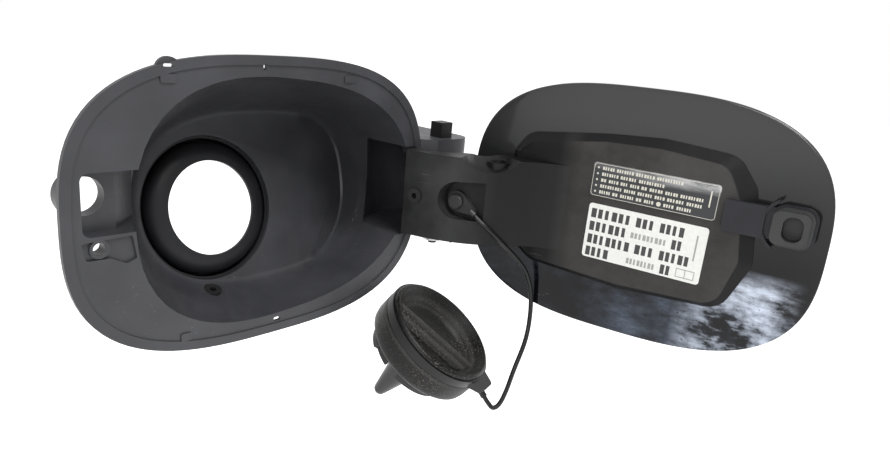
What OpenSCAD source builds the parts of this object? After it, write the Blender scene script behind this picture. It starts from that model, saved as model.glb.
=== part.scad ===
// Fuel door housing of a car: a moulded pocket with the filler neck seal,
// a gloss door on a gooseneck arm, and the filler cap hanging on its tether.
// The flange lies in the XZ plane and faces -Y. The whole is moved at the end
// so that the centre of the neck seal's bore is the origin.

/* [Flange] */
// Half width of the flange
flange_a = 113.7; // [105:0.1:125]
// Half height of the flange
flange_b = 80.3; // [76:0.1:90]
// Squareness of the flange and door outlines
outline_n = 2.9; // [2.6:0.05:3.2]
// Wall of the moulded pocket
wall = 2.2; // [1.8:0.1:2.8]
// Width of the raised band round the flange
band_w = 5; // [3:0.5:7]
// Height of the raised band over the flange face
band_h = 0.9; // [0.5:0.1:1.5]
// Depth of the stiffening wall behind the flange
lip_d = 7; // [5:0.5:9]
// Distance of that wall from the flange edge
lip_inset = 7; // [6:0.5:9]

/* [Pocket] */
// Middle of the pocket's mouth along X
mouth_x = 12.2; // [10:0.1:14]
// Half width of the pocket's mouth
mouth_a = 91.6; // [88:0.1:94]
// Half height of the pocket's mouth
mouth_b = 68.6; // [65:0.1:71]
// Squareness of the pocket's mouth
mouth_n = 2.5; // [2.2:0.05:2.8]
// How much lower the mouth is at its hinge end
mouth_taper = 0.1; // [0.05:0.01:0.15]
// Half width of the pocket's floor
floor_a = 84; // [80:0.5:88]
// Half height of the pocket's floor
floor_b = 51; // [48:0.5:54]
// Slope of the floor towards the hinge well
well_slope = 0.4; // [0.2:0.01:0.5]

/* [Neck] */
// Neck bore's centre along X
neck_x = -16.1; // [-20:0.1:-12]
// Depth of the neck seal's lip behind the flange face
neck_y = 42; // [38:0.5:46]
// Neck bore's centre along Z
neck_z = -11.7; // [-14:0.1:-9]
// Radius of the neck seal's bore
neck_r = 28; // [26:0.5:30]
// Upward tilt of the neck in degrees
neck_tilt = 13.3; // [10:0.1:16]
// Sideways turn of the neck in degrees
neck_yaw = 4.5; // [2:0.1:7]
// Radius of the seal's rounded shoulder
shoulder_r = 39.7; // [37:0.1:41]
// Radius of the hole that holds the seal
seat_r = 43; // [42:0.1:45]

/* [Latch recess] */
// Radius of the hole for the latch actuator
actuator_r = 9.5; // [8:0.1:11]
// Actuator hole along X
actuator_x = -99.5; // [-101:0.1:-98]
// Actuator hole along Z
actuator_z = 11.5; // [9:0.1:13]
// Length of the sleeve behind the actuator hole
sleeve_len = 17; // [12:0.5:22]
// Radius of the fixing screw hole
screw_r = 3.2; // [2.5:0.1:3.6]
// Screw hole along X
screw_x = -96.6; // [-98:0.1:-95]
// Screw hole along Z
screw_z = -12.8; // [-14:0.1:-12]
// Length of the screw hole's boss
screw_len = 9; // [6:0.5:12]

/* [Hinge] */
// Hinge axis along X
hinge_x = 135.5; // [134:0.1:137]
// Hinge axis behind the flange face
hinge_y = 3.2; // [2:0.1:5]
// Inner radius of the hinge box
box_r = 50.6; // [49:0.1:52]
// Top of the hinge box
box_top = 30; // [28:0.5:32]
// Top of the slot that the arm swings in
slot_top = 25.5; // [25:0.1:27]
// Bottom of the slot that the arm swings in
slot_bottom = -34.5; // [-36:0.1:-34]
// Radius of the hinge pin
pin_r = 3; // [2.5:0.1:3.5]
// Width of the pin's square head
pin_head = 10.5; // [9:0.1:12]
// Running clearance round the pin
pin_gap = 0.05; // [0.03:0.01:0.1]
// Wire of the hinge spring
spring_wire = 1.8; // [1.4:0.1:2.2]
// Opening angle of the door as it stands
door_angle = 101.8; // [90:0.1:105]

/* [Door] */
// Gap from the flange edge in to the door edge
door_inset = 2; // [1:0.1:4]
// Thickness of the door skin
skin_t = 3; // [2:0.1:4]
// Distance of the skin's inner edge from the flange face
door_gap = 8; // [7:0.1:10]
// Bulge of the door skin
crown = 4; // [2:0.1:6]
// Height of the carrier's face before the flange face
panel_gap = 5.5; // [4:0.1:6]
// Thickness of the stuck-on labels
label_t = 0.3; // [0.2:0.05:0.6]
// Top of the arm
arm_top = 24; // [23:0.1:24.5]
// Bottom of the arm
arm_bottom = -33; // [-33.5:0.1:-31]
// Wall of the arm
arm_wall = 3; // [2.4:0.1:4]
// Radius of the arm's hub
hub_r = 9; // [8:0.1:10]

/* [Cap] */
// Radius of the cap's grip
grip_r = 41; // [38:0.1:43]
// Height of the grip over the tether ring
grip_h = 3; // [2.5:0.1:5]
// Height of the tether ring's band
ring_h = 6; // [5:0.1:7]
// Wall of the tether ring's band
ring_t = 1.8; // [1.2:0.1:2.4]
// Clearance between the cap and the ring it turns in
ring_gap = 0.35; // [0.3:0.05:0.6]
// Height of the cap's skirt under the ring
skirt_h = 17; // [15:0.5:19]
// Radius of the bayonet plug
plug_r = 26; // [24:0.5:27.5]
// Distance of the stem's tip from the grip's rim
stem_len = 76; // [70:1:84]
// Diameter of the tether cord
tether_d = 3.2; // [2.5:0.1:4]

/* [Hidden] */
$fn = 96;
sides = 72;
eps = 0.01;

// Outlines in the XZ plane

function mix(a, b, t) = a + (b - a) * t;

function egg_r(a, b, n, th) =
  pow(pow(abs(cos(th)) / a, n) + pow(abs(sin(th)) / b, n), -1 / n);

function egg(a, b, n, th) = egg_r(a, b, n, th) * [cos(th), sin(th)];

function ring_angles(k) = [for (i = [0:k - 1]) 360 * i / k];

function unit(v) = v / norm(v);

function backwards(p) = [for (i = [len(p) - 1:-1:0]) p[i]];

function bezier(p, t) =
  pow(1 - t, 3) * p[0] + 3 * pow(1 - t, 2) * t * p[1]
  + 3 * (1 - t) * t * t * p[2] + pow(t, 3) * p[3];

function curve(p, k) = [for (i = [0:k]) bezier(p, i / k)];

// A curve moved sideways by d, to the left of its direction
function beside(p, d) = [for (i = [0:len(p) - 1])
  let (a = p[max(i - 1, 0)], b = p[min(i + 1, len(p) - 1)], u = unit(b - a))
  p[i] + d * [-u.y, u.x]];

// The polygon p with each corner rounded by radius r
function rounded(p, r, k = 6) = [for (i = [0:len(p) - 1])
  let (a = p[(i + len(p) - 1) % len(p)], b = p[i], c = p[(i + 1) % len(p)],
    u = unit(a - b), v = unit(c - b), half = acos(u * v) / 2,
    d = r / tan(half), s = b + d * u, e = b + d * v,
    m = b + unit(u + v) * r / sin(half))
  each [for (j = [0:k]) m + r * unit(mix(s - m, e - m, j / k))]];

// A prism of the children's XZ outline between two depths
module slab(y0, y1) {
  translate([0, y1, 0]) rotate([90, 0, 0]) linear_extrude(y1 - y0) children();
}

// A block with rounded corners seen from the front
module block(x0, x1, z0, z1, y0, y1, r) {
  slab(y0, y1) polygon(rounded([[x0, z0], [x1, z0], [x1, z1], [x0, z1]], r));
}

// A closed solid through rings of as many points each
module loft(rings) {
  n = len(rings[0]);
  m = len(rings);
  points = [for (r = rings) each r];
  sidewall = [for (j = [0:m - 2], i = [0:n - 1])
    let (a = j * n + i, b = j * n + (i + 1) % n)
    each [[a, b, a + n], [b, b + n, a + n]]];
  polyhedron(points = points, faces = concat(sidewall,
    [[for (i = [n - 1:-1:0]) i]], [[for (i = [0:n - 1]) (m - 1) * n + i]]));
}

// A round bar along a path, closed at both ends
function frames(p, u, i = 0, acc = []) =
  i == len(p) ? acc :
  let (t = unit(p[min(i + 1, len(p) - 1)] - p[max(i - 1, 0)]),
    w = unit(u - (u * t) * t))
  frames(p, w, i + 1, concat(acc, [[t, w]]));

module sweep(path, r, n, start_up) {
  f = frames(path, start_up);
  loft([for (i = [0:len(path) - 1]) [for (a = ring_angles(n))
    path[i] + r * (cos(a) * f[i][1] + sin(a) * cross(f[i][1], f[i][0]))]]);
}

// A smooth line through hand-set points
function through(p, k) = concat([for (i = [0:len(p) - 2])
  let (a = p[max(i - 1, 0)], b = p[i], c = p[i + 1], d = p[min(i + 2, len(p) - 1)])
  each [for (j = [0:k - 1]) let (t = j / k) 0.5 * (2 * b + (c - a) * t
    + (2 * a - 5 * b + 4 * c - d) * t * t
    + (3 * b - a - 3 * c + d) * t * t * t)]], [p[len(p) - 1]]);

// Places

module place() {
  translate(-[neck_x, neck_y, neck_z]) children();
}

module at_hinge() {
  translate([hinge_x, hinge_y, 0]) children();
}

// Turns what is modelled on the closed door to the open door
module opened() {
  at_hinge() rotate([0, 0, door_angle]) translate([-hinge_x, -hinge_y, 0])
    children();
}

// Z runs out of the neck towards the filler nozzle
module at_neck() {
  translate([neck_x, neck_y, neck_z]) rotate([90 - neck_tilt, 0, neck_yaw])
    children();
}

cap_place = [115.4, -33.9, -96.3];
cap_tilt = 37.6;
cap_turn = -64.7;
tab_spin = 4.4;
ridge_spin = 9.4;

// Z runs out of the hanging cap's grip and X to the tether's tab
module at_cap() {
  translate(cap_place) rotate([0, cap_tilt, cap_turn])
    rotate([0, 0, tab_spin]) children();
}

// Pocket

neck_n = [sin(neck_yaw) * cos(neck_tilt), -cos(neck_yaw) * cos(neck_tilt),
  sin(neck_tilt)];
seat_back = 2.6;
well_x = 58;
floor_x = 21;
floor_z = -8;

// Depth of the floor: square to the neck, and past well_x sloping on down
function floor_y(x, z, slope) = neck_y
  + (seat_back + neck_n.x * (x - neck_x) + neck_n.z * (z - neck_z)) / -neck_n.y
  + slope * (x - well_x);

function mouth_pt(th, g) = let (p = egg(mouth_a + g, mouth_b + g, mouth_n, th))
  [mouth_x + p.x, p.y * (1 - mouth_taper * p.x / mouth_a)];

function floor_pt(th, g) =
  [floor_x, floor_z] + egg(floor_a + g, floor_b + g, mouth_n, th);

// One ring of the bowl: s blends mouth to floor, f shrinks it towards the
// floor's middle, d is its share of the floor's depth, g the growth outwards
function bowl_ring(s, f, d, g, slope) = [for (th = ring_angles(sides))
  let (q = mix(mouth_pt(th, g), floor_pt(th, g), s),
    x = mix(floor_x, q.x, f), z = mix(floor_z, q.y, f))
  [x, d * (floor_y(x, z, slope) + g), z]];

function mouth_ring(y, g) = [for (th = ring_angles(sides))
  let (q = mouth_pt(th, g)) [q.x, y, q.y]];

module bowl_half(g, y0, slope) {
  loft(concat([mouth_ring(y0, g)], [for (k = [[0.02, 1, 0.06], [0.26, 1, 0.3],
    [0.5, 1, 0.54], [0.7, 1, 0.74], [0.86, 1, 0.89], [0.95, 0.99, 0.965],
    [0.99, 0.975, 0.99], [1, 0.95, 1]]) bowl_ring(k[0], k[1], k[2], g, slope)]));
}

module bowl(g, y0) {
  bowl_half(g, y0, 0);
  intersection() {
    bowl_half(g, y0, well_slope);
    translate([well_x, -300, -300]) cube(600);
  }
}

module outline(a, b) {
  polygon([for (th = ring_angles(2 * sides)) egg(a, b, outline_n, th)]);
}

// A band that follows the flange's edge
module edge_band(y0, y1, inset, w) {
  difference() {
    slab(y0, y1) outline(flange_a - inset, flange_b - inset);
    slab(y0 - 1, y1 + 1) outline(flange_a - inset - w, flange_b - inset - w);
  }
}

ear_at = [-61, 71.5];

// Small tabs that locate the flange, and an ear with a slit, as moulded on it
module flange_tabs() {
  slab(0, wall) translate(ear_at) circle(r = 6.5);
  block(-65.5, -57.5, 65.5, 69.8, -0.9, wall, 1.2);
  block(45.5, 53.7, 66.5, 70.5, -0.9, wall, 1.2);
  block(-57.5, -51.5, -71.5, -67, -0.9, wall, 1.2);
}

module flange_slits() {
  block(-64, -58.5, 73, 74.6, -5, 10, 0.7);
  block(-8.9, -7, 72, 76, -5, 10, 0.8);
  block(0.5, 5.5, -74, -71.6, -5, 10, 1);
}

module flange_plate() {
  flange_tabs();
  slab(0, wall) outline(flange_a, flange_b);
  edge_band(-band_h, wall, 0, band_w);
  edge_band(0, lip_d, lip_inset, wall);
}

// Drain at the lowest place of the pocket's floor

drain_r = 3;
drain_seat = 0.8;
drain_back = -wall - 2;

module at_drain() {
  translate([-24, 27.5, -59.2]) rotate([17.9, 0, 0]) children();
}

recess_d = 9;
recess_x0 = -104;
recess_x1 = -85;
recess_z0 = -6.5;
recess_z1 = 24.3;
ramp_x = -68;
ramp_y = 30;

// The latch recess with its ramp down to the pocket, g grows it outwards
module recess(g, y0) {
  intersection() {
    translate([0, 0, recess_z0 - g]) linear_extrude(recess_z1 - recess_z0 + 2 * g)
      polygon([[recess_x0 - g, y0], [recess_x0 - g, recess_d + g],
        [recess_x1 - g / 2, recess_d + g], [ramp_x - g, ramp_y + g],
        [mouth_x - mouth_a + 22, ramp_y + g], [mouth_x - mouth_a + 22, y0]]);
    block(recess_x0 - g, mouth_x - mouth_a + 40, recess_z0 - g, recess_z1 + g,
      -40, 80, 4 + g);
  }
}

strip_d = 1.6;

// Shallow field round the fixing screw, below the latch recess
module strip() {
  slab(-5, strip_d) polygon(rounded([[-105, -9], [-81, -8], [-79, -20],
    [-84, -22], [-92, -18], [-103, -18]], 1.2));
}

box_side = 20;
box_foot = 1 - hinge_y;

module box_plan(g) {
  polygon(concat([[-60, 60], [-60, box_foot], [-24, box_foot], [-14, -9 - g]],
    [for (t = [0:15:90]) [8 + (box_side + g - 8) * sin(t), 3 - (12 + g) * cos(t)]],
    [[box_side + g, 60]]));
}

module hinge_box() {
  at_hinge() intersection() {
    translate([0, 0, slot_bottom - wall]) cylinder(r = box_r + wall,
      h = box_top - slot_bottom + wall);
    translate([0, 0, slot_bottom - wall])
      linear_extrude(box_top - slot_bottom + wall) box_plan(wall);
  }
}

// Room that the arm swings in, below the upper ear
module hinge_hollow() {
  at_hinge() difference() {
    intersection() {
      translate([0, 0, slot_bottom]) cylinder(r = box_r,
        h = slot_top - slot_bottom);
      translate([-60, -30, slot_bottom])
        cube([60 + box_side, 90, slot_top - slot_bottom]);
    }
    translate([0, 0, ear_z]) cylinder(r = ear_r, h = 20);
  }
}

ear_r = 27;
ear_z = 19.5;
lower_boss = 8;

module drain_land() {
  at_drain() translate([0, 0, drain_back]) cylinder(r = drain_r + 3,
    h = drain_seat - drain_back);
}

module filler_pocket() {
  place() color("#33353a") difference() {
    union() {
      flange_plate();
      bowl(wall, wall / 2);
      recess(wall, wall / 2);
      hinge_box();
      block(-107, -77, -24, -5, 0, strip_d + wall, 2);
      at_neck() translate([0, 0, -seat_back - wall]) cylinder(r = seat_r + 6,
        h = wall + 0.5);
      translate([actuator_x, 0, actuator_z]) rotate([-90, 0, 0])
        cylinder(r = actuator_r + wall, h = sleeve_len);
      translate([screw_x, 0, screw_z]) rotate([-90, 0, 0])
        cylinder(r = screw_r + wall, h = screw_len);
      drain_land();
      at_hinge() translate([0, 0, slot_bottom - lower_boss]) cylinder(
        r = pin_r + 4, h = lower_boss);
    }
    intersection() {
      bowl(0, -5);
      translate([-200, -5, -100]) cube([400, 200, 200]);
    }
    intersection() {
      recess(0, -5);
      translate([-200, -5, -100]) cube([200, 200, 200]);
    }
    at_neck() translate([0, 0, -20]) cylinder(r = seat_r, h = 40);
    translate([actuator_x, recess_d - eps, actuator_z]) rotate([-90, 0, 0])
      cylinder(r = actuator_r, h = sleeve_len);
    difference() {
      strip();
      translate([screw_x, -20, screw_z]) rotate([-90, 0, 0])
        cylinder(r = screw_r + 1.5, h = 60);
    }
    translate([screw_x, -20, screw_z]) rotate([-90, 0, 0])
      cylinder(r = screw_r, h = 60);
    at_hinge() translate([0, 0, -60]) cylinder(r = pin_r, h = 120);
    at_drain() {
      translate([0, 0, -10]) cylinder(r = drain_r, h = 20);
      translate([0, 0, drain_seat]) cylinder(r = drain_r + 2.2, h = 8);
      translate([0, 0, drain_back - 8]) cylinder(r = drain_r + 3, h = 8);
    }
    flange_slits();
    hinge_hollow();
  }
}
filler_pocket();

// Neck seal: a rubber trumpet with a bellows, moulded on behind the floor

seal_t = 1.8;
seal_drop = 7.5;
bellows_z = -12;
bellows_r = 0.8;
seal_back = -seat_back - wall;

function seal_front(d) = [for (t = [0:10:90])
  [mix(neck_r, shoulder_r - d, sin(t)),
    seal_t / 2 - d - (seal_drop - d / 2) * (1 - cos(t))]];

function seal_fold(r) = let (c = shoulder_r + bellows_r)
  [for (t = [180:20:360]) [c + r * cos(t), bellows_z + r * sin(t)]];

module neck_seal() {
  place() color("#1c1d1f") at_neck() rotate_extrude() polygon(concat(
    seal_front(0), seal_fold(bellows_r),
    [[shoulder_r + 2 * bellows_r, seal_back], [seat_r + 5, seal_back],
      [seat_r + 5, seal_back - seal_t],
      [shoulder_r + 2 * bellows_r + seal_t, seal_back - seal_t]],
    backwards(seal_fold(bellows_r + seal_t)), backwards(seal_front(seal_t))));
}
neck_seal();

module drain_grommet() {
  place() color("#232427") at_drain() difference() {
    union() {
      translate([0, 0, drain_seat]) cylinder(r = drain_r + 2, h = 1.6);
      translate([0, 0, drain_back]) cylinder(r = drain_r, h = drain_seat - drain_back);
      translate([0, 0, drain_back - 1.8]) cylinder(r = drain_r + 0.9, h = 1.8);
      translate([0, 0, drain_back - 7]) cylinder(r = drain_r, h = 6);
    }
    translate([0, 0, -30]) cylinder(r = drain_r - 1.2, h = 40);
  }
}
drain_grommet();

// Hinge pin, its clip and its spring

pin_low = slot_bottom - lower_boss;

module hinge_pin() {
  place() color("#1f2022") at_hinge() {
    translate([0, 0, pin_low - 4]) cylinder(r = pin_r, h = box_top - pin_low + 4.5);
    translate([0, 0, box_top + pin_head / 2]) cube(pin_head, center = true);
  }
}
hinge_pin();

module pin_clip() {
  place() color("#8a8c8f") at_hinge() translate([0, 0, pin_low - 1.2])
    difference() {
      cylinder(r = pin_r + 4.5, h = 1.2);
      translate([0, 0, -1]) cylinder(r = pin_r, h = 4);
      for (a = [0, 120, 240]) rotate([0, 0, a])
        translate([0, -0.6, -1]) cube([pin_r + 2, 1.2, 4]);
    }
}
pin_clip();

coil_r = 7.7;
coil_low = -26;
coil_turns = 6;
coil_pitch = spring_wire + 0.5;
coil_space = coil_pitch * (coil_turns + 1);
neck_hub_r = coil_r - spring_wire / 2 - 0.6;
coil_leg = [[6.8, 10], [5.2, 17], [5, 24]];

function coil(r, z, pitch, turns, a0, k) = [for (i = [0:k * turns])
  let (a = a0 + 360 * i / k) [r * cos(a), r * sin(a), z + pitch * i / k]];

module hinge_spring() {
  end_a = door_angle + 360 * coil_turns;
  top = coil_low + coil_pitch * (end_a - 90) / 360;
  place() color("#9a9ca0") at_hinge() sweep(concat(
    [[box_side, coil_r, coil_low], [10, coil_r, coil_low], [5, coil_r, coil_low]],
    [for (a = [90:24:end_a]) [coil_r * cos(a), coil_r * sin(a),
      coil_low + coil_pitch * (a - 90) / 360]],
    [for (q = coil_leg) [q.x * cos(door_angle) - q.y * sin(door_angle),
      q.x * sin(door_angle) + q.y * cos(door_angle), top]]),
    spring_wire / 2, 8, [0, 0, 1]);
}
hinge_spring();

// Door: the skin, the carrier with its arm, the latch and the labels

door_a = flange_a - door_inset;
door_b = flange_b - door_inset;

function skin_ring(f, y) = [for (th = ring_angles(sides))
  let (p = f * egg(door_a, door_b, outline_n, th)) [p.x, y, p.y]];

function skin_y(f) = -door_gap - crown * (1 - f * f);

skin_steps = [0.12, 0.4, 0.65, 0.85, 1];

module door_skin() {
  place() color("#0c0d0f") opened() loft(backwards(concat(
    [for (f = skin_steps) skin_ring(f, skin_y(f))],
    [skin_ring(1.006, -door_gap - skin_t * 0.4), skin_ring(1, -door_gap - skin_t)],
    [for (i = [len(skin_steps) - 2:-1:0])
      skin_ring(skin_steps[i], skin_y(skin_steps[i]) - skin_t)])));
}
door_skin();

// Everything in front of the skin's inner face, to be cut away
module skin_block() {
  loft(backwards(concat([for (f = skin_steps) skin_ring(f, skin_y(f))],
    [skin_ring(1.05, -door_gap), skin_ring(1.05, -40), skin_ring(0.1, -40)])));
}

panel_foot = [[84, 28], [74, 42], [20, 48], [-14, 50], [-58, 46.5], [-71, 29],
  [-76, -16], [-63, -46], [0, -49.5], [64, -45], [84, -30]];
panel_face = [[80, 27], [70, 36], [20, 43], [-14, 43.7], [-53, 40], [-63, 20],
  [-68, -14], [-60, -43], [0, -45.5], [62, -42], [80, -28]];

function panel_ring(t, y, r) = [for (p = rounded([for (i = [0:len(panel_foot) - 1])
  mix(panel_foot[i], panel_face[i], t)], r, 4)) [p.x, y, p.y]];

knuckle = [[3, 36.5], [-20, 36], [-40, 30], [-55, 16.5]];
throat = [[-55, 16.5], [-68, 4], [-76, -9], [-100, -9]];
arm_back = [[-52, -9], [-36, -2], [-35, 13], [-17, 13]];
arm_outer = concat(curve(knuckle, 10), [for (i = [1:10]) bezier(throat, i / 10)]);

saddle_r = 30;
saddle_at = [-52, 19.5, 15.4];
saddle_lean = 18;
saddle_turn = 127.7;

module arm_body() {
  translate([0, 0, arm_bottom]) linear_extrude(arm_top - arm_bottom)
    polygon(concat([[4, 0], [4, 35.5]], arm_outer, [[-100, -16], [-52, -16]],
      curve(arm_back, 8), [[-12, 9], [-12, 4], [-8, 0]]));
}

tether_bed = 20.5;
peg_p = -31.1;
peg_z = -6.3;

module arm_cuts() {
  // Saddle that dips over the crease
  translate(saddle_at) rotate([0, 90 + saddle_lean, saddle_turn])
    translate([-saddle_r, 0, -60]) cylinder(r = saddle_r, h = 120);
  // Room for the hinge box's upper ear
  translate([0, 0, ear_z - 0.4]) cylinder(r = ear_r + 0.5, h = 20);
  // Bed of the tether's eye
  hull() {
    translate([-34.5, tether_bed, -4.5]) rotate([-90, 0, 0]) cylinder(r = 12.5, h = 40);
    translate([-90, tether_bed, -18]) cube([1, 40, 28]);
  }
  // Pin bore
  translate([0, 0, -60]) cylinder(r = pin_r + pin_gap, h = 120);
  // Room for the spring round the hub
  translate([0, 0, coil_low - 2]) difference() {
    cylinder(r = coil_r + spring_wire / 2 + 0.6, h = coil_space + 4);
    translate([0, 0, -1]) cylinder(r = neck_hub_r, h = 40);
  }
  // Hollow back, with its ribs left standing
  difference() {
    translate([0, 0, arm_bottom + arm_wall]) linear_extrude(11 - arm_bottom
      - arm_wall) polygon(concat(beside([for (i = [4:14]) arm_outer[i]],
        arm_wall), [[-70, -30], [-20, -10]]));
    translate([-60, tether_bed - arm_wall, -21]) cube([60, 40, 35]);
    for (p = [-34, -48]) translate([p, -40, -40]) cube([2, 90, 80]);
    translate([-70, -40, -5]) cube([60, 90, 2]);
    translate([-100, -60, -50]) cube([110, 60 - hinge_y - panel_gap, 100]);
  }
}

boss_at = [-50, 6.5];

module door_carrier() {
  place() color("#26272a") opened() difference() {
    union() {
      loft([panel_ring(0, -20, 14), panel_ring(0, -door_gap - 1.5, 14),
        panel_ring(0.8, -panel_gap - 0.8, 13), panel_ring(0.95, -panel_gap - 0.15, 12),
        panel_ring(1, -panel_gap, 12)]);
      at_hinge() difference() {
        union() {
          arm_body();
          translate([0, 0, arm_bottom]) cylinder(r = hub_r, h = ear_z - 0.4
            - arm_bottom);
        }
        arm_cuts();
      }
      at_hinge() translate([boss_at.x, boss_at.y, 8]) cylinder(r = 7.5, h = 13.5);
      at_hinge() translate([-31, 27, arm_bottom - 1.2]) cylinder(r1 = 0.8,
        r2 = 2, h = 1.4);
    }
    skin_block();
    at_hinge() translate([boss_at.x, boss_at.y, 11]) cylinder(r = 5, h = 20);
    at_hinge() translate([plug_p, 20, plug_z]) rotate([-90, 0, 0])
      cylinder(r = plug_hole_r, h = 40);
  }
}
door_carrier();

plug_p = -6;
plug_z = -5.5;
plug_hole_r = 4;

module arm_plug() {
  place() color("#1b1c1e") opened() at_hinge()
    translate([plug_p, 20, plug_z]) rotate([-90, 0, 0]) difference() {
      union() {
        cylinder(r = plug_hole_r, h = 16.8);
        translate([0, 0, 16.5]) cylinder(r = 5, h = 1);
      }
      translate([0, 0, 13]) cylinder(r = 2, h = 10);
    }
}
arm_plug();

module tether_peg() {
  place() color("#2a2b2f") opened() at_hinge()
    translate([peg_p, tether_bed, peg_z]) rotate([-90, 0, 0]) {
      cylinder(r = 3.8, h = 6);
      translate([0, 0, 5]) cylinder(r1 = 5, r2 = 4.4, h = 1.4);
    }
}
tether_peg();

strap_z0 = 4;
strap_z1 = 22.5;

latch_at = [-92.5, 13];

// The bracket's raised collar, an arc on the side of the hinge
module latch_collar() {
  intersection() {
    slab(-6.5, -1.2) translate(latch_at) difference() {
      circle(r = 17);
      circle(r = 15.2);
    }
    block(-84, -70, -1.5, 28, -10, 10, 0.5);
  }
}

module latch_bracket() {
  place() color("#2b2c30") opened() difference() {
    union() {
      block(-78, -56, strap_z0, strap_z1, -panel_gap, -1, 1);
      block(-84.5, -76, strap_z0, strap_z1, -6.5, -3.4, 1);
      block(-105, -81, 1, 25, -6.5, -3, 7);
      latch_collar();
    }
    skin_block();
    block(-101.5, -82.5, 3.5, 22.5, -20, 20, 4);
  }
}
latch_bracket();

module latch_socket() {
  place() color("#222326") opened() difference() {
    union() {
      block(-101.5, -82.5, 3.5, 22.5, -7, 4, 4);
      block(-103.4, -82, 2.2, 23.8, -3, 1.6, 6);
      block(-102.2, -83.2, 3, 23, 1.5, 3, 5.4);
    }
    block(-98.5, -88, 6, 20, -4, 20, 4.5);
  }
}
latch_socket();

module label(x0, x1, z0, z1, lean) {
  translate([(x0 + x1) / 2, 0, (z0 + z1) / 2]) rotate([0, lean, 0])
    block((x0 - x1) / 2, (x1 - x0) / 2, (z0 - z1) / 2, (z1 - z0) / 2,
      -panel_gap, -panel_gap + label_t, 2);
}

module caution_label() {
  place() color("#17181a") opened() label(-52, 26, 7.8, 29.7, -1);
}
caution_label();

module fuel_label() {
  place() color("#e8e8e6") opened() label(-49.5, 25.2, -32.5, 3.2, -1);
}
fuel_label();

// Tether: an eye on the arm's peg, the cord and the ring round the cap

route = [[121.9, -45.9, -13.4], [122.7, -49.3, -15.9],
  [125.2, -54.6, -20.2], [131.9, -59.2, -27.3], [140.5, -61.8, -34.9],
  [148.3, -65.4, -43], [153.6, -68.4, -50.3], [156.7, -70.7, -58.2],
  [158.5, -72.3, -66.9], [158.8, -73.5, -76.2], [158.2, -74.3, -84.7],
  [156, -75.5, -93], [152, -77, -100], [147.5, -78, -106.5],
  [141, -78.5, -117.5], [136.5, -77.5, -132], [132.5, -76, -141.5],
  [129, -73.5, -144.5], [127, -70.5, -141.5], [125.8, -67.3, -137.5]];
path = through(route, 2);

module stub(a, b, r) {
  sweep([a, b], r, 12, [0, 1, 0.2]);
}

eye_tail = [-42.3, -11.2];

module tether_eye() {
  place() color("#2e2f33") {
    difference() {
      union() {
        opened() at_hinge() hull() {
          translate([peg_p, tether_bed, peg_z]) rotate([-90, 0, 0])
            cylinder(r = 7, h = 3.4, $fn = 32);
          translate([eye_tail.x, tether_bed, eye_tail.y]) rotate([-90, 0, 0])
            cylinder(r = 2.4, h = 3.4, $fn = 32);
        }
        stub(path[0] - 4 * unit(path[1] - path[0]), path[0], 2.1);
      }
      opened() at_hinge() translate([peg_p, tether_bed - 1, peg_z])
        rotate([-90, 0, 0]) cylinder(r = 4.4, h = 10);
    }
  }
}
tether_eye();

module tether() {
  place() color("#1d1e20") sweep(path, tether_d / 2, 8, [0, 1, 0.2]);
}
tether();

ring_r = grip_r - 0.7;
ring_z = -grip_h - ring_h;
last = len(path) - 1;
// Distance of the cord's end from the cap's axis
tab_reach = 46.3;

module tether_ring() {
  place() color("#303135") {
    at_cap() translate([0, 0, ring_z]) difference() {
      union() {
        cylinder(r = ring_r + ring_t, h = ring_h);
        hull() {
          translate([ring_r - 8, -22, 0]) cube([1, 32, ring_h - 1]);
          for (p = [[tab_reach - 2, -12], [tab_reach, -3]]) translate(p)
            cylinder(r = 4, h = ring_h - 1, $fn = 32);
        }
      }
      translate([0, 0, -1]) cylinder(r = ring_r, h = ring_h + 2);
    }
    stub(path[last], path[last] + 5 * unit(path[last] - path[last - 1]), 2.3);
  }
}
tether_ring();

// Cap: grip, bayonet plug, seal, nose and the relief valve in it

skirt_z = ring_z - skirt_h;
groove_r = ring_r - ring_gap;
shell_in = grip_r - 3;
rim_in = grip_r - 3.4;
scoop_r = rim_in - 6;
scoop_d = 14;
deck_z = -scoop_d - 3;
ridge_top = -7;

module cap_grip() {
  place() color("#202124") at_cap() difference() {
    rotate_extrude() polygon([[0, deck_z], [0, 0], [grip_r - 2.6, 0],
      [grip_r - 1.4, -0.4], [grip_r - 0.6, -1.3], [grip_r - 0.3, -grip_h + 0.3],
      [groove_r, -grip_h + 0.3], [groove_r, ring_z - 0.3],
      [grip_r + 0.9, ring_z - 0.3], [grip_r + 1.3, ring_z - 1],
      [grip_r + 1.1, skirt_z + 5], [grip_r + 0.4, skirt_z + 1.6],
      [grip_r - 1.2, skirt_z], [shell_in, skirt_z], [shell_in, deck_z]]);
    rotate([0, 0, ridge_spin - tab_spin]) difference() {
      rotate_extrude() polygon([[0, 5], [0, -scoop_d], [scoop_r - 7, -scoop_d],
        [scoop_r - 3, -scoop_d + 1.6], [scoop_r, -8.5], [rim_in - 2, -3.2],
        [rim_in, -0.9], [rim_in + 0.5, 0.1], [rim_in + 0.5, 5]]);
      translate([50, 0, 0]) rotate([0, -90, 0]) linear_extrude(100)
        polygon([[-scoop_d - 1, -8.5], [-scoop_d + 2, -5.5], [ridge_top - 3, -3.2],
          [ridge_top - 0.5, -1.6], [ridge_top, -0.8], [ridge_top, 0.8],
          [ridge_top - 0.5, 1.6], [ridge_top - 3, 3.2], [-scoop_d + 2, 5.5],
          [-scoop_d - 1, 8.5]]);
    }
  }
}
cap_grip();

crown_low = skirt_z - 10;
core_r = 12;
core_low = skirt_z - 18;
valve_bore = 9;
valve_top = skirt_z + 2;

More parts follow.
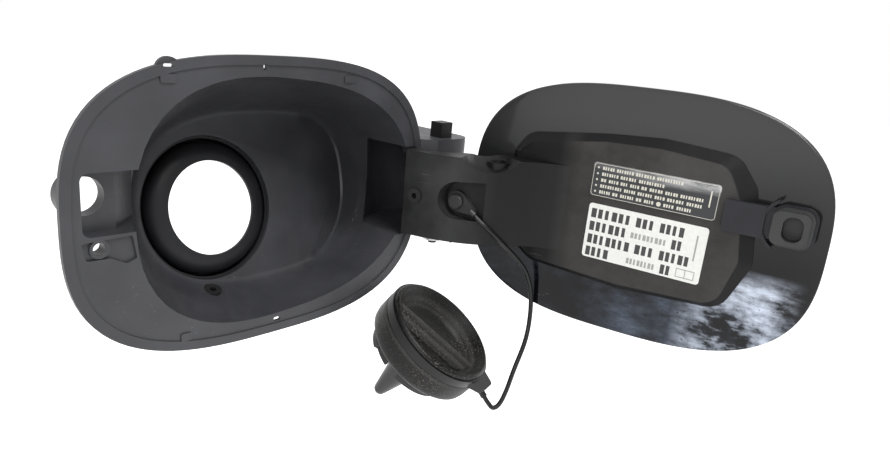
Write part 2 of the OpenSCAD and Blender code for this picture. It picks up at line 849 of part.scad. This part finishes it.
module bayonet_claw() {
  intersection() {
    difference() {
      translate([0, 0, crown_low]) cylinder(r = plug_r + 8, h = 4);
      translate([0, 0, crown_low - 1]) cylinder(r = plug_r + 4, h = 6);
    }
    translate([0, -11, crown_low - 1]) cube([50, 22, 10]);
  }
}

module cap_plug() {
  place() color("#1a1b1d") at_cap() {
    difference() {
      rotate_extrude() polygon([[0, deck_z], [0, valve_top + 4],
        [5, valve_top + 4], [5, valve_top], [valve_bore, valve_top],
        [valve_bore, core_low], [core_r, core_low], [core_r, skirt_z - 2],
        [plug_r + 2.4, skirt_z - 2], [plug_r + 2.4, crown_low],
        [plug_r + 5, crown_low], [plug_r + 5, skirt_z], [shell_in, skirt_z],
        [shell_in, deck_z]]);
      for (a = [75, 165, 255, 345]) rotate([0, 0, a])
        translate([core_r + 4, -5, crown_low - 1]) cube([30, 10,
          skirt_z - crown_low - 2]);
    }
    for (a = [20, 200]) rotate([0, 0, a]) bayonet_claw();
  }
}
cap_plug();

module cap_seal() {
  place() color("#151617") at_cap() translate([0, 0, skirt_z - 1.9])
    rotate_extrude() translate([plug_r + 5 + 1.9, 0]) circle(r = 1.9, $fn = 24);
}
cap_seal();

nose_seat = core_low + 4;

module cap_nose() {
  place() color("#3a3b3e") at_cap() rotate_extrude() polygon([
    [0, -stem_len], [2.6, -stem_len + 0.5], [4.2, -stem_len + 2.2],
    [4.9, -stem_len + 4.5], [core_r - 1, core_low - 1], [core_r, core_low - 1],
    [core_r, core_low], [valve_bore, core_low], [valve_bore, nose_seat],
    [3.5, nose_seat], [3.5, nose_seat - 4], [0, nose_seat - 8]]);
}
cap_nose();

valve_stem = 2.4;
valve_h = 1.8;

module relief_valve() {
  place() color("#b9babd") at_cap() {
    translate([0, 0, valve_top - valve_h]) cylinder(r = 7.6, h = valve_h);
    translate([0, 0, nose_seat + 5]) cylinder(r = valve_stem, h = valve_top
      - valve_h - nose_seat - 4.5);
  }
}
relief_valve();

valve_wire = 0.9;
valve_coil_h = valve_top - valve_h - nose_seat - valve_wire;

module relief_spring() {
  place() color("#a3a5a9") at_cap() sweep(coil(5.5, nose_seat + valve_wire / 2,
    valve_coil_h / 6, 6, 0, 12), valve_wire / 2, 6, [0, 0, 1]);
}
relief_spring();
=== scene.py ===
import math

import bmesh
import bpy
from mathutils import Matrix, Vector


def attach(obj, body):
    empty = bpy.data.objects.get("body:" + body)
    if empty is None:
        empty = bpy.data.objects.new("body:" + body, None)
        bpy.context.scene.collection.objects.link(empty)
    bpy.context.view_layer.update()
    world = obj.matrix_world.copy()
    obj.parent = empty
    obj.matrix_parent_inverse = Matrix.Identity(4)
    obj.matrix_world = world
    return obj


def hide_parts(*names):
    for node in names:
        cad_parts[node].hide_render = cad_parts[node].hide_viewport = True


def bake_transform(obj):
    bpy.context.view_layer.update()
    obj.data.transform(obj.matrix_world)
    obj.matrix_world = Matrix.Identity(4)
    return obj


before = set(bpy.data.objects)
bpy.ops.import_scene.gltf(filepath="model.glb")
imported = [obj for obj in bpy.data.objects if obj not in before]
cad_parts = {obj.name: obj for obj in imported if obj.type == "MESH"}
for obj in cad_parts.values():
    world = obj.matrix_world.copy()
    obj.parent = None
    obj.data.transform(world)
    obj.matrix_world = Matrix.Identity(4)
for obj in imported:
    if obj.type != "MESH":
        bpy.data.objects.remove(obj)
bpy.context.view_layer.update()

MM = 0.001

# The part's source measures from the flange's middle; the row's origin is the neck bore
ROW_OFFSET = Vector((16.1, -42.0, 11.7))
HINGE = Vector((135.5, 3.2, 0.0))
DOOR_ANGLE = math.radians(101.8)

RIDES = {
    "housing": ("filler_pocket", "neck_seal", "drain_grommet", "hinge_pin", "pin_clip"),
    "door": ("door_carrier", "latch_bracket", "latch_socket", "tether_peg", "arm_plug",
             "tether_eye", "caution_label", "fuel_label"),
    "cap": ("cap_grip", "cap_plug", "cap_seal", "cap_nose"),
    "valve": ("relief_valve",),
}


def row(x, y, z):
    """A point of the part's source, in mm from the flange's middle, in the row's metres."""
    return (Vector((x, y, z)) + ROW_OFFSET) * MM


def opened(x, y, z):
    """A point on the closed door, in mm, where it is with the door open, in the row's metres."""
    p = Vector((x, y, z)) - HINGE
    p.rotate(Matrix.Rotation(DOOR_ANGLE, 3, "Z"))
    return row(*(p + HINGE))


# The two films on the closed door's panel: middle (X, Z), depth and turn, in mm and degrees
CAUTION_AT = (-13, 18.75)
FUEL_AT = (-12.15, -14.65)
FILM_FACE = -5.2
FILM_LEAN = math.radians(-1)

# Top of the hanging cap, in the row's metres

CAP_AT = Vector((0.1315, -0.0759, -0.0846))
CAP_AXIS = Vector((0.26075, -0.551622, 0.79229))


# Camera, solved from the photo's two outlines

CAMERA_AT = Vector((-0.2040, -0.3732, 0.1121))
CAMERA_LOOKS = Vector((0.7125, 0.6460, -0.2736))
CAMERA_ROLL = math.radians(5.12)
CAMERA_LENS = 28.37


def make_camera():
    forward = CAMERA_LOOKS.normalized()
    level = forward.cross(Vector((0, 0, 1))).normalized()
    over = level.cross(forward)
    right = math.cos(CAMERA_ROLL) * level + math.sin(CAMERA_ROLL) * over
    up = right.cross(forward)
    data = bpy.data.cameras.new("camera")
    data.lens = CAMERA_LENS
    data.sensor_width = 36
    data.clip_start = 0.02
    camera = bpy.data.objects.new("camera", data)
    bpy.context.scene.collection.objects.link(camera)
    turn = Matrix((right, up, -forward)).transposed().to_4x4()
    camera.matrix_world = Matrix.Translation(CAMERA_AT) @ turn
    bpy.context.scene.camera = camera


# Shader maths

class Value:
    """A number that changes over a surface; sums and products add their Math nodes."""

    def __init__(self, finish, socket):
        self.finish = finish
        self.socket = socket

    def math(self, kind, first, second):
        return Value(self.finish, self.finish.node(
            "ShaderNodeMath", {"operation": kind}, {0: first, 1: second}).outputs[0])

    def __add__(self, other):
        return self.math("ADD", self, other)

    def __sub__(self, other):
        return self.math("SUBTRACT", self, other)

    def __rsub__(self, other):
        return self.math("SUBTRACT", other, self)

    def __mul__(self, other):
        return self.math("MULTIPLY", self, other)

    __radd__ = __add__
    __rmul__ = __mul__

    def most(self, other):
        return self.math("MAXIMUM", self, other)

    def least(self, other):
        return self.math("MINIMUM", self, other)

    def spread(self, low, high, to_low=0.0, to_high=1.0):
        """From low to high in this value gives to_low to to_high, and no more."""
        return Value(self.finish, self.finish.node(
            "ShaderNodeMapRange", {"clamp": True},
            {"Value": self, "From Min": low, "From Max": high, "To Min": to_low,
             "To Max": to_high}).outputs[0])


class Finish:
    """One material, with short calls for its nodes."""

    def __init__(self, name, **fixed):
        self.material = bpy.data.materials.new(name)
        self.material.use_nodes = True
        self.tree = self.material.node_tree
        self.shader = self.tree.nodes["Principled BSDF"]
        self.place = self.node("ShaderNodeTexCoord").outputs["Object"]
        for socket, value in fixed.items():
            self.shader.inputs[socket.replace("_", " ")].default_value = value

    def node(self, kind, settings=None, sockets=None):
        node = self.tree.nodes.new(kind)
        for name, value in (settings or {}).items():
            setattr(node, name, value)
        for name, value in (sockets or {}).items():
            self.feed(node.inputs[name], value)
        return node

    def feed(self, target, value):
        if isinstance(value, Value):
            value = value.socket
        if isinstance(value, bpy.types.NodeSocket):
            self.tree.links.new(value, target)
        else:
            target.default_value = value

    def set(self, name, value):
        self.feed(self.shader.inputs[name], value)

    def noise(self, scale, detail=3.0, rough=0.55, stretch=(1, 1, 1), turn=(0, 0, 0)):
        mapping = self.node("ShaderNodeMapping", None,
                            {"Vector": self.place, "Scale": stretch, "Rotation": turn})
        return Value(self, self.node("ShaderNodeTexNoise", None, {
            "Vector": mapping.outputs[0], "Scale": scale, "Detail": detail,
            "Roughness": rough}).outputs["Fac"])

    def along(self, origin, direction):
        """Distance in metres along a direction from a point."""
        off = self.node("ShaderNodeVectorMath", {"operation": "SUBTRACT"},
                        {0: self.place, 1: tuple(origin)})
        return Value(self, self.node("ShaderNodeVectorMath", {"operation": "DOT_PRODUCT"},
                                     {0: off.outputs[0], 1: tuple(direction)}).outputs["Value"])

    def mix(self, share, first, second):
        node = self.node("ShaderNodeMix", {"data_type": "RGBA"}, {0: share})
        for index, colour in ((6, first), (7, second)):
            self.feed(node.inputs[index],
                      (*colour, 1) if isinstance(colour, tuple) else colour)
        return node.outputs[2]

    def bump(self, height, strength, distance):
        return self.node("ShaderNodeBump", None, {
            "Height": height, "Strength": strength, "Distance": distance}).outputs[0]


def grey(value, blue=1.06):
    return (value, value * 1.01, value * blue)


# Finishes

FINE_GRAIN = 1400
GRAIN_DEPTH = 0.00006
DUST = (0.16, 0.155, 0.15)
TO_HINGE = opened(1, 0, 0) - opened(0, 0, 0)
TO_CAR = opened(0, 1, 0) - opened(0, 0, 0)


def moulded(name, tone, rough, specular=0.4, grain=FINE_GRAIN, blue=1.06, dust=0.0):
    """Moulded plastic or rubber: slightly uneven in tone, a fine grain, and a little dust."""
    f = Finish(name, Specular_IOR_Level=specular)
    patches = f.noise(22, 5)
    colour = f.mix(patches.spread(0.35, 0.68), grey(tone * 0.8, blue), grey(tone * 1.2, blue))
    rubbed = f.noise(60, 6, 0.7)
    if dust:
        specks = f.noise(420, 2).spread(0.69, 0.74) * f.noise(9, 2).spread(0.4, 0.6)
        cloudy_patches = rubbed.spread(0.5, 0.75, 0, dust) * f.noise(7, 3).spread(0.42, 0.62)
        colour = f.mix((specks * 0.35 + cloudy_patches).least(1.0), colour, DUST)
    f.set("Base Color", colour)
    f.set("Roughness", rubbed.spread(0.35, 0.7, rough - 0.05, rough + 0.1))
    f.set("Normal", f.bump(f.noise(grain, 2), 0.3, GRAIN_DEPTH))
    return f.material


def carrier_plastic():
    """The carrier's panel is warm and dusty, with painted shade on its side walls; its arm is
    darker, with a painted sheen towards the hinge.
    """
    f = Finish("carrier_plastic", Specular_IOR_Level=0.2)
    arm = f.along(opened(38, 0, 0), TO_HINGE / MM).spread(-0.004, 0.012)
    rubbed = f.noise(45, 6, 0.7)
    panel = f.mix(rubbed.spread(0.35, 0.7), (0.022, 0.021, 0.020), (0.042, 0.039, 0.037))
    # Painted highlight: the arm's neck turns lighter towards the hinge end
    neck_highlight = f.along(opened(92, 0, 0), TO_HINGE / MM).spread(-0.012, 0.012)
    neck = f.mix(neck_highlight * f.noise(18, 4).spread(0.36, 0.6), grey(0.003, 1.2),
                 grey(0.024, 1.0))
    inside = f.along(opened(0, 0, 0), TO_CAR / MM)
    # Painted shade: the panel's side walls are coloured near black
    wall_shade = inside.spread(-0.0056, -0.0060) * (1.0 - arm)
    colour = f.mix(wall_shade, f.mix(arm, panel, neck), (0.003, 0.003, 0.0035))
    scratches = f.noise(70, 4, 0.6, (0.3, 0.3, 4), (0.5, 0.2, 0.1)).spread(0.7, 0.74)
    f.set("Base Color", f.mix(scratches * 0.3, colour, (0.13, 0.13, 0.13)))
    f.set("Roughness", rubbed.spread(0.35, 0.7, 0.34, 0.52))
    f.set("Normal", f.bump(f.noise(FINE_GRAIN, 2), 0.3, GRAIN_DEPTH))
    return f.material


def cap_plastic():
    """Coarse-grained black plastic, with painted glints in its grain and painted highlight bands
    along the grip's ridge.
    """
    f = Finish("cap_plastic", Specular_IOR_Level=0.24)
    height = f.along(CAP_AT, CAP_AXIS)
    # Painted highlight: two bands by height along the cap's axis, at the ridge's crest and just
    # below it, turn lighter
    crest_highlight = height.spread(-0.0105, -0.0078) * height.spread(-0.0050, -0.0066)
    lower_highlight_band = height.spread(-0.0095, -0.0100) * height.spread(-0.0125, -0.0112)
    # Patches that set both the wear in the roughness and where the painted glints are strongest
    wear_and_glint_patches = f.noise(28, 4).spread(0.42, 0.62)
    # Painted glints: warm light specks in the colour
    painted_glints = f.noise(1100, 1).spread(0.58, 0.72) * (0.25 + 0.75 * wear_and_glint_patches)
    colour = f.mix(f.noise(24, 4).spread(0.35, 0.65), grey(0.002, 1.0), grey(0.006, 1.0))
    colour = f.mix(crest_highlight.most(lower_highlight_band) * 0.7, colour, (0.034, 0.033, 0.032))
    f.set("Base Color", f.mix(painted_glints * 0.8, colour, (0.17, 0.155, 0.13)))
    f.set("Roughness", wear_and_glint_patches.spread(0, 1, 0.46, 0.32))
    f.set("Normal", f.bump(f.noise(800, 2), 0.5, 0.0002))
    return f.material


def gloss_paint():
    """Gloss paint with painted reflections: lighter towards the top, bluish reflection clouds
    and a bright reflection patch low down, with scratches and dark specks.
    """
    f = Finish("gloss_paint", Specular_IOR_Level=0.2, Coat_Roughness=0.05)
    clouds = f.noise(15, 6, 0.62)
    streaks = f.noise(60, 6, 0.7, (0.35, 1, 3.2), (0.4, 0.2, 0.5))
    specks = f.noise(330, 3, 0.6).spread(0.66, 0.7)
    across = f.along(opened(0, -8, 0), -TO_HINGE / MM)
    up = f.along(opened(0, -8, 0), (0, 0, 1))
    inside = f.along(opened(0, 0, 0), TO_CAR / MM)
    inside = inside.spread(-0.012, -0.0105)
    # The lower area of the skin's inner face, where the painted reflections go
    low = inside * up.spread(-0.026, -0.044) * across.spread(-0.03, 0.03, 0.35, 1)
    patch = across.spread(0.035, 0.062) * across.spread(0.108, 0.09)
    bright = inside * up.spread(-0.018, -0.03) * patch
    # Painted reflection: bluish clouds over the lower area
    cloudy_patches = (clouds + 0.10 * low).spread(0.46, 0.66) * low
    # Painted light: the base tone turns lighter towards the top
    base = f.mix(up.spread(-0.01, 0.06), grey(0.003, 1.4), grey(0.030, 1.0))
    base = f.mix(cloudy_patches * streaks.spread(0.3, 0.62) * 0.8, base, (0.10, 0.125, 0.17))
    # Painted reflection: a bright bluish-white glare patch low on the skin's inner face
    glare = bright * (clouds + 0.5 * streaks).spread(0.64, 0.84)
    base = f.mix(glare, base, (0.62, 0.68, 0.80))
    # Scratch streaks, lit up as part of the painted reflection in the lower area
    base = f.mix(streaks.spread(0.66, 0.72) * 0.5 * low, base, (0.30, 0.32, 0.36))
    f.set("Base Color", f.mix(specks * low * 0.9, base, (0.004, 0.004, 0.006)))
    f.set("Roughness", clouds.spread(0.4, 0.7, 0.10, 0.3))
    f.set("Coat Weight", up.spread(-0.02, 0.05, 0.05, 0.4))
    return f.material


def steel(name):
    f = Finish(name + "_steel", Metallic=1.0)
    f.set("Base Color", f.mix(f.noise(120, 3).spread(0.3, 0.7), (0.34, 0.34, 0.35),
                              (0.5, 0.5, 0.5)))
    f.set("Roughness", f.noise(300, 2).spread(0.35, 0.65, 0.24, 0.38))
    return f.material


def dark_film():
    """Dark clear-coated film with a lighter, silvery streak along its top edge."""
    f = Finish("dark_film", Specular_IOR_Level=0.5, Roughness=0.3)
    middle = opened(CAUTION_AT[0], FILM_FACE, CAUTION_AT[1])
    up = f.along(middle, (0, 0, 1))
    right = f.along(middle, -TO_HINGE / MM)
    streak = (up + 0.1 * right.least(0.0)).spread(0.003, 0.0075)
    streak = streak * (f.noise(60, 5, 0.7, (1, 1, 5)).spread(0.35, 0.6) * 0.7 + 0.15)
    streak = streak * right.spread(-0.03, 0.02, 0.35, 1)
    f.set("Base Color", f.mix(streak, (0.014, 0.015, 0.018), (0.46, 0.46, 0.46)))
    return f.material


def flat_print(name, colour, rough=0.5):
    f = Finish(name, Roughness=rough)
    f.set("Base Color", f.mix(f.noise(500, 3).spread(0.3, 0.7),
                              tuple(0.9 * c for c in colour), colour))
    return f.material


def make_finishes():
    m = {}
    m["filler_pocket"] = moulded("pocket_plastic", 0.034, 0.42, 0.38, blue=1.15, dust=0.05)
    m["neck_seal"] = moulded("seal_rubber", 0.010, 0.42, 0.25, 700, blue=1.2)
    m["drain_grommet"] = moulded("drain_rubber", 0.008, 0.5)
    m["hinge_pin"] = moulded("pin_plastic", 0.005, 0.42, 0.25)
    m["door_carrier"] = carrier_plastic()
    m["latch_bracket"] = moulded("bracket_plastic", 0.014, 0.36, 0.25, blue=1.3)
    m["latch_socket"] = moulded("socket_rubber", 0.022, 0.48)
    m["tether_peg"] = moulded("peg_plastic", 0.024, 0.38)
    m["arm_plug"] = moulded("plug_plastic", 0.014, 0.34, 0.45)
    m["tether_eye"] = moulded("eye_plastic", 0.018, 0.4)
    m["tether"] = moulded("tether_plastic", 0.004, 0.34, 0.3)
    m["tether_ring"] = moulded("ring_plastic", 0.006, 0.36, 0.3)
    m["cap_grip"] = cap_plastic()
    m["cap_plug"] = moulded("cap_core_plastic", 0.008, 0.45)
    m["cap_seal"] = moulded("cap_seal_rubber", 0.006, 0.4)
    m["cap_nose"] = moulded("nose_plastic", 0.010, 0.28, 0.4)
    m["relief_valve"] = moulded("valve_plastic", 0.5, 0.5, blue=1.0)
    m["door_skin"] = gloss_paint()
    m["caution_label"] = dark_film()
    m["fuel_label"] = flat_print("white_film", (0.74, 0.74, 0.71), 0.4)
    for name in ("hinge_spring", "relief_spring", "pin_clip"):
        m[name] = steel(name)
    return m


# Meshes

SHARP_ANGLE = math.radians(33)


def add_object(name, mesh, body, material):
    obj = bpy.data.objects.new(name, mesh)
    bpy.context.scene.collection.objects.link(obj)
    mesh.materials.clear()
    mesh.materials.append(material)
    if body:
        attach(obj, body)
    return obj


def ring_mesh(name, rings):
    """A smooth closed skin through rings of as many points each, with flat ends."""
    mesh = bpy.data.meshes.new(name)
    bm = bmesh.new()
    rows = [[bm.verts.new(p) for p in ring] for ring in rings]
    count = len(rows[0])
    for a, b in zip(rows, rows[1:]):
        for i in range(count):
            j = (i + 1) % count
            bm.faces.new((a[i], a[j], b[j], b[i]))
    bm.faces.new(reversed(rows[0]))
    bm.faces.new(rows[-1])
    bmesh.ops.recalc_face_normals(bm, faces=bm.faces)
    for face in bm.faces:
        face.smooth = len(face.verts) == 4
    bm.to_mesh(mesh)
    bm.free()
    return mesh


def smooth_mesh(name):
    """A solid's own form with its rounds shaded smooth instead of in facets."""
    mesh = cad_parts[name].data.copy()
    bm = bmesh.new()
    bm.from_mesh(mesh)
    bmesh.ops.remove_doubles(bm, verts=bm.verts, dist=0.00001)
    for face in bm.faces:
        face.smooth = True
    for edge in bm.edges:
        if len(edge.link_faces) == 2:
            edge.smooth = edge.calc_face_angle(0) < SHARP_ANGLE
    bm.to_mesh(mesh)
    bm.free()
    return mesh


def smooth_copy(name, body, material):
    obj = add_object(name + "_finish", smooth_mesh(name), None, material)
    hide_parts(name)
    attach(obj, body)
    return obj


# The door's skin, with the outline of the part's source in finer steps

DOOR_A = 111.7
DOOR_B = 78.3
OUTLINE_N = 2.9
DOOR_GAP = 8.0
CROWN = 4.0
SKIN_T = 3.0
SKIN_SIDES = 180


def skin_ring(share, y):
    ring = []
    for k in range(SKIN_SIDES):
        a = math.tau * k / SKIN_SIDES
        r = share * (abs(math.cos(a) / DOOR_A) ** OUTLINE_N
                     + abs(math.sin(a) / DOOR_B) ** OUTLINE_N) ** (-1 / OUTLINE_N)
        ring.append(opened(r * math.cos(a), y, r * math.sin(a)))
    return ring


def make_skin(finishes):
    steps = [0.02] + [0.1 * k for k in range(1, 10)] + [0.96, 0.99]
    inner = [skin_ring(f, -DOOR_GAP - CROWN * (1 - f * f)) for f in steps]
    outer = [skin_ring(f, -DOOR_GAP - SKIN_T - CROWN * (1 - f * f)) for f in reversed(steps)]
    rim = [skin_ring(share, -DOOR_GAP - drop * SKIN_T) for share, drop in (
        (0.9975, 0.02), (1.001, 0.09), (1.0045, 0.24), (1.006, 0.42), (1.006, 0.6),
        (1.0045, 0.78), (1.001, 0.93), (0.9975, 1.0))]
    obj = add_object("skin", ring_mesh("skin", inner + rim + outer), None,
                     finishes["door_skin"])
    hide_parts("door_skin")
    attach(obj, "door")


# Springs, shaded smooth and fixed in place; their ends along the axis are found but not used

def make_spring(name, axis, finishes):
    mesh = smooth_mesh(name)
    axis = Vector(axis)
    lengths = [v.co.dot(axis) for v in mesh.vertices]
    middle = sum((v.co for v in mesh.vertices), Vector()) / len(mesh.vertices)
    start = middle + (min(lengths) - middle.dot(axis)) * axis
    end = middle + (max(lengths) - middle.dot(axis)) * axis
    obj = add_object(name + "_wire", mesh, None, finishes[name])
    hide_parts(name)
    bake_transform(obj)


# The tether, with the route of the part's source

TETHER_D = 3.2
TETHER_ROUTE = [
    (121.9, -45.9, -13.4), (122.7, -49.3, -15.9), (125.2, -54.6, -20.2),
    (131.9, -59.2, -27.3), (140.5, -61.8, -34.9), (148.3, -65.4, -43.0),
    (153.6, -68.4, -50.3), (156.7, -70.7, -58.2), (158.5, -72.3, -66.9),
    (158.8, -73.5, -76.2), (158.2, -74.3, -84.7), (156.0, -75.5, -93.0),
    (152.0, -77.0, -100.0), (147.5, -78.0, -106.5), (141.0, -78.5, -117.5),
    (136.5, -77.5, -132.0), (132.5, -76.0, -141.5), (129.0, -73.5, -144.5),
    (127.0, -70.5, -141.5), (125.8, -67.3, -137.5)]


def smooth_line(points, steps):
    """The same smooth line through given points as the part's source draws."""
    line = []
    for i in range(len(points) - 1):
        a, b, c, d = (points[min(max(i + k, 0), len(points) - 1)] for k in (-1, 0, 1, 2))
        for j in range(steps):
            t = j / steps
            line.append(0.5 * (2 * b + (c - a) * t + (2 * a - 5 * b + 4 * c - d) * t * t
                               + (3 * b - a - 3 * c + d) * t ** 3))
    return line + [points[-1]]


def tube_mesh(name, line, radius, sides=14):
    rings = []
    side = Vector((0, 1, 0.2))
    for i, point in enumerate(line):
        ahead = (line[min(i + 1, len(line) - 1)] - line[max(i - 1, 0)]).normalized()
        side = (side - side.dot(ahead) * ahead).normalized()
        other = side.cross(ahead)
        rings.append([point + radius * (math.cos(a) * side + math.sin(a) * other)
                      for a in (math.tau * k / sides for k in range(sides))])
    return ring_mesh(name, rings)


def make_tether(finishes):
    line = smooth_line([row(*p) for p in TETHER_ROUTE], 6)
    length = sum((b - a).length for a, b in zip(line, line[1:]))
    obj = add_object("tether_cord", tube_mesh("tether_cord", line, TETHER_D / 2 * MM), None,
                     finishes["tether"])
    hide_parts("tether")
    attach(obj, "door")


# Print on the two films: generic blocks in place of lettering and signs

PRINT_T = 0.03
LETTER_SHARE = 0.74


class Film:
    """The flat face of one stuck-on film; u runs right and v up as it is read."""

    def __init__(self, at):
        self.x, self.z = at
        self.quads = []

    def at(self, u, v, lift):
        x = -u * math.cos(FILM_LEAN) + v * math.sin(FILM_LEAN)
        z = u * math.sin(FILM_LEAN) + v * math.cos(FILM_LEAN)
        return opened(self.x + x, FILM_FACE + lift, self.z + z)

    def block(self, u0, u1, v0, v1):
        self.quads.append(((u0, v0), (u1, v0), (u1, v1), (u0, v1)))

    def word(self, u, v, length, height, wide):
        """A row of blocks, like letters seen from too far off to be read."""
        count = max(1, round(length / (wide * 1.35)))
        step = length / count
        for i in range(count):
            cut = 0.12 * step * (i % 3)
            self.block(u + i * step, u + (i + LETTER_SHARE) * step - cut, v - height / 2,
                       v + height / 2)

    def dot(self, u, v, r):
        self.quads.append(tuple((u + r * math.cos(a), v + r * math.sin(a))
                                for a in (math.tau * k / 12 for k in range(12))))

    def outline(self, u, v, corner, wide):
        """A thin frame with round corners."""
        inner = rounded(u - wide, v - wide, corner - wide)
        outer = rounded(u, v, corner)
        for i in range(len(outer)):
            j = (i + 1) % len(outer)
            self.quads.append((outer[i], outer[j], inner[j], inner[i]))

    def finish(self, name, material):
        mesh = bpy.data.meshes.new(name)
        bm = bmesh.new()
        for shape in self.quads:
            top = [bm.verts.new(self.at(u, v, PRINT_T)) for u, v in shape]
            low = [bm.verts.new(self.at(u, v, 0.0)) for u, v in shape]
            bm.faces.new(top)
            bm.faces.new(reversed(low))
            for i in range(len(top)):
                j = (i + 1) % len(top)
                bm.faces.new((top[j], top[i], low[i], low[j]))
        bmesh.ops.recalc_face_normals(bm, faces=bm.faces)
        bm.to_mesh(mesh)
        bm.free()
        add_object(name, mesh, "door", material)


def rounded(u, v, r):
    points = []
    for cu, cv, start in ((u - r, v - r, 0), (r - u, v - r, 90), (r - u, r - v, 180),
                          (u - r, r - v, 270)):
        for k in range(7):
            a = math.radians(start + 15 * k)
            points.append((cu + r * math.cos(a), cv + r * math.sin(a)))
    return points


SMALL = (2.0, 1.2)
MEDIUM = (3.6, 1.8)
LARGE = (6, 3.1)

# Rows of words on the dark film: height of the row, then the words' lengths
CAUTION_ROWS = (
    (7.6, (8, 11, 12, 16)),
    (3.8, (11, 10.5, 16)),
    (0, (4, 6.5, 5, 6, 4, 8.5, 8, 14)),
    (-3.8, (14.5, 7.5, 9.5, 6.5, 10.5, 9.5)),
    (-7.6, (7.5, 4, 9, 4, 6)))

# Words on the white film: left end, height of the row and length
FUEL_WORDS = (
    (-35.2, 11.7, 27), (-6, 11.7, 12.5), (9, 11.7, 15.5),
    (-35.2, 3.2, 25.5), (17.5, 3.2, 7),
    (-35.2, -5.3, 28.5), (-4, -5.3, 13), (11.5, -5.3, 19),
    (-35.2, -13.6, 16), (13.5, -13.6, 7))


def print_caution(material):
    film = Film(CAUTION_AT)
    film.outline(38.4, 10.4, 2, 0.28)
    for v, words in CAUTION_ROWS:
        film.dot(-35.6, v, 0.65)
        u = -32.8
        for length in words:
            film.word(u, v, length, *SMALL)
            u += length + 1.1
    film.dot(5, -7.6, 1.4)
    film.word(8, -7.6, 6.5, *SMALL)
    film.word(16, -7.6, 9, *SMALL)
    film.block(33.6, 34.4, -3.2, 6.6)
    film.finish("caution_print", material)


def print_fuel(dark, pale):
    film = Film(FUEL_AT)
    for u, v, length in FUEL_WORDS:
        film.word(u, v, length, *LARGE)
    film.finish("fuel_print_dark", dark)
    film = Film(FUEL_AT)
    film.word(-8, 3.0, 23, *MEDIUM)
    film.word(-8, -13.8, 18.5, *MEDIUM)
    film.block(31.2, 32.2, -4, 12)
    for u in (23, 28.3, 33.6):
        film.block(u, u + 0.5, -16, -10.4)
    for v in (-16, -10.9):
        film.block(23.5, 33.6, v, v + 0.5)
    film.finish("fuel_print_pale", pale)


# Studio

FLOOR_Z = -0.30


def make_studio():
    scene = bpy.context.scene
    scene.view_settings.view_transform = "Standard"
    world = bpy.data.worlds.new("studio")
    scene.world = world
    world.use_nodes = True
    tree = world.node_tree
    background = tree.nodes["Background"]
    background.inputs["Color"].default_value = (1, 1, 1, 1)
    path = tree.nodes.new("ShaderNodeLightPath")
    seen = path.outputs["Is Camera Ray"]
    for name in ("Is Glossy Ray", "Is Transmission Ray"):
        most = tree.nodes.new("ShaderNodeMath")
        most.operation = "MAXIMUM"
        tree.links.new(seen, most.inputs[0])
        tree.links.new(path.outputs[name], most.inputs[1])
        seen = most.outputs[0]
    level = tree.nodes.new("ShaderNodeMapRange")
    level.inputs["To Min"].default_value = 0.5
    tree.links.new(seen, level.inputs["Value"])
    tree.links.new(level.outputs[0], background.inputs["Strength"])
    make_floor()
    add_light("key", (0.0, -0.75, 1.15), (0.05, -0.05, 0), 0.5, 16)
    add_light("side", (-1.0, -0.6, 0.5), (0.2, -0.15, 0), 0.5, 6)


def make_floor():
    bm = bmesh.new()
    bmesh.ops.create_grid(bm, x_segments=1, y_segments=1, size=6)
    mesh = bpy.data.meshes.new("floor")
    bm.to_mesh(mesh)
    bm.free()
    floor = bpy.data.objects.new("floor", mesh)
    floor.location = (0, 0, FLOOR_Z)
    bpy.context.scene.collection.objects.link(floor)
    f = Finish("floor", Roughness=0.9, Base_Color=(0.95, 0.95, 0.95, 1),
               Emission_Color=(1, 1, 1, 1))
    path = f.node("ShaderNodeLightPath")
    seen = Value(f, path.outputs["Is Camera Ray"]).most(Value(f, path.outputs["Is Glossy Ray"]))
    f.set("Emission Strength", seen * 0.6 + 0.15)
    mesh.materials.append(f.material)


def add_light(name, at, towards, size, power):
    data = bpy.data.lights.new(name, "AREA")
    data.size = size
    data.energy = power
    light = bpy.data.objects.new(name, data)
    light.location = at
    light.rotation_euler = (Vector(towards) - Vector(at)).to_track_quat("-Z", "Y").to_euler()
    bpy.context.scene.collection.objects.link(light)


make_camera()
finishes = make_finishes()
for body, names in RIDES.items():
    for name in names:
        smooth_copy(name, body, finishes[name])
make_skin(finishes)
make_spring("hinge_spring", (0, 0, 1), finishes)
make_spring("relief_spring", CAP_AXIS, finishes)
make_tether(finishes)
print_caution(flat_print("light_print", (0.62, 0.60, 0.52)))
print_fuel(flat_print("dark_print", (0.03, 0.03, 0.03)),
           flat_print("pale_print", (0.32, 0.32, 0.31)))
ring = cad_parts["tether_ring"]
ring.data.materials.clear()
ring.data.materials.append(finishes["tether_ring"])
make_studio()
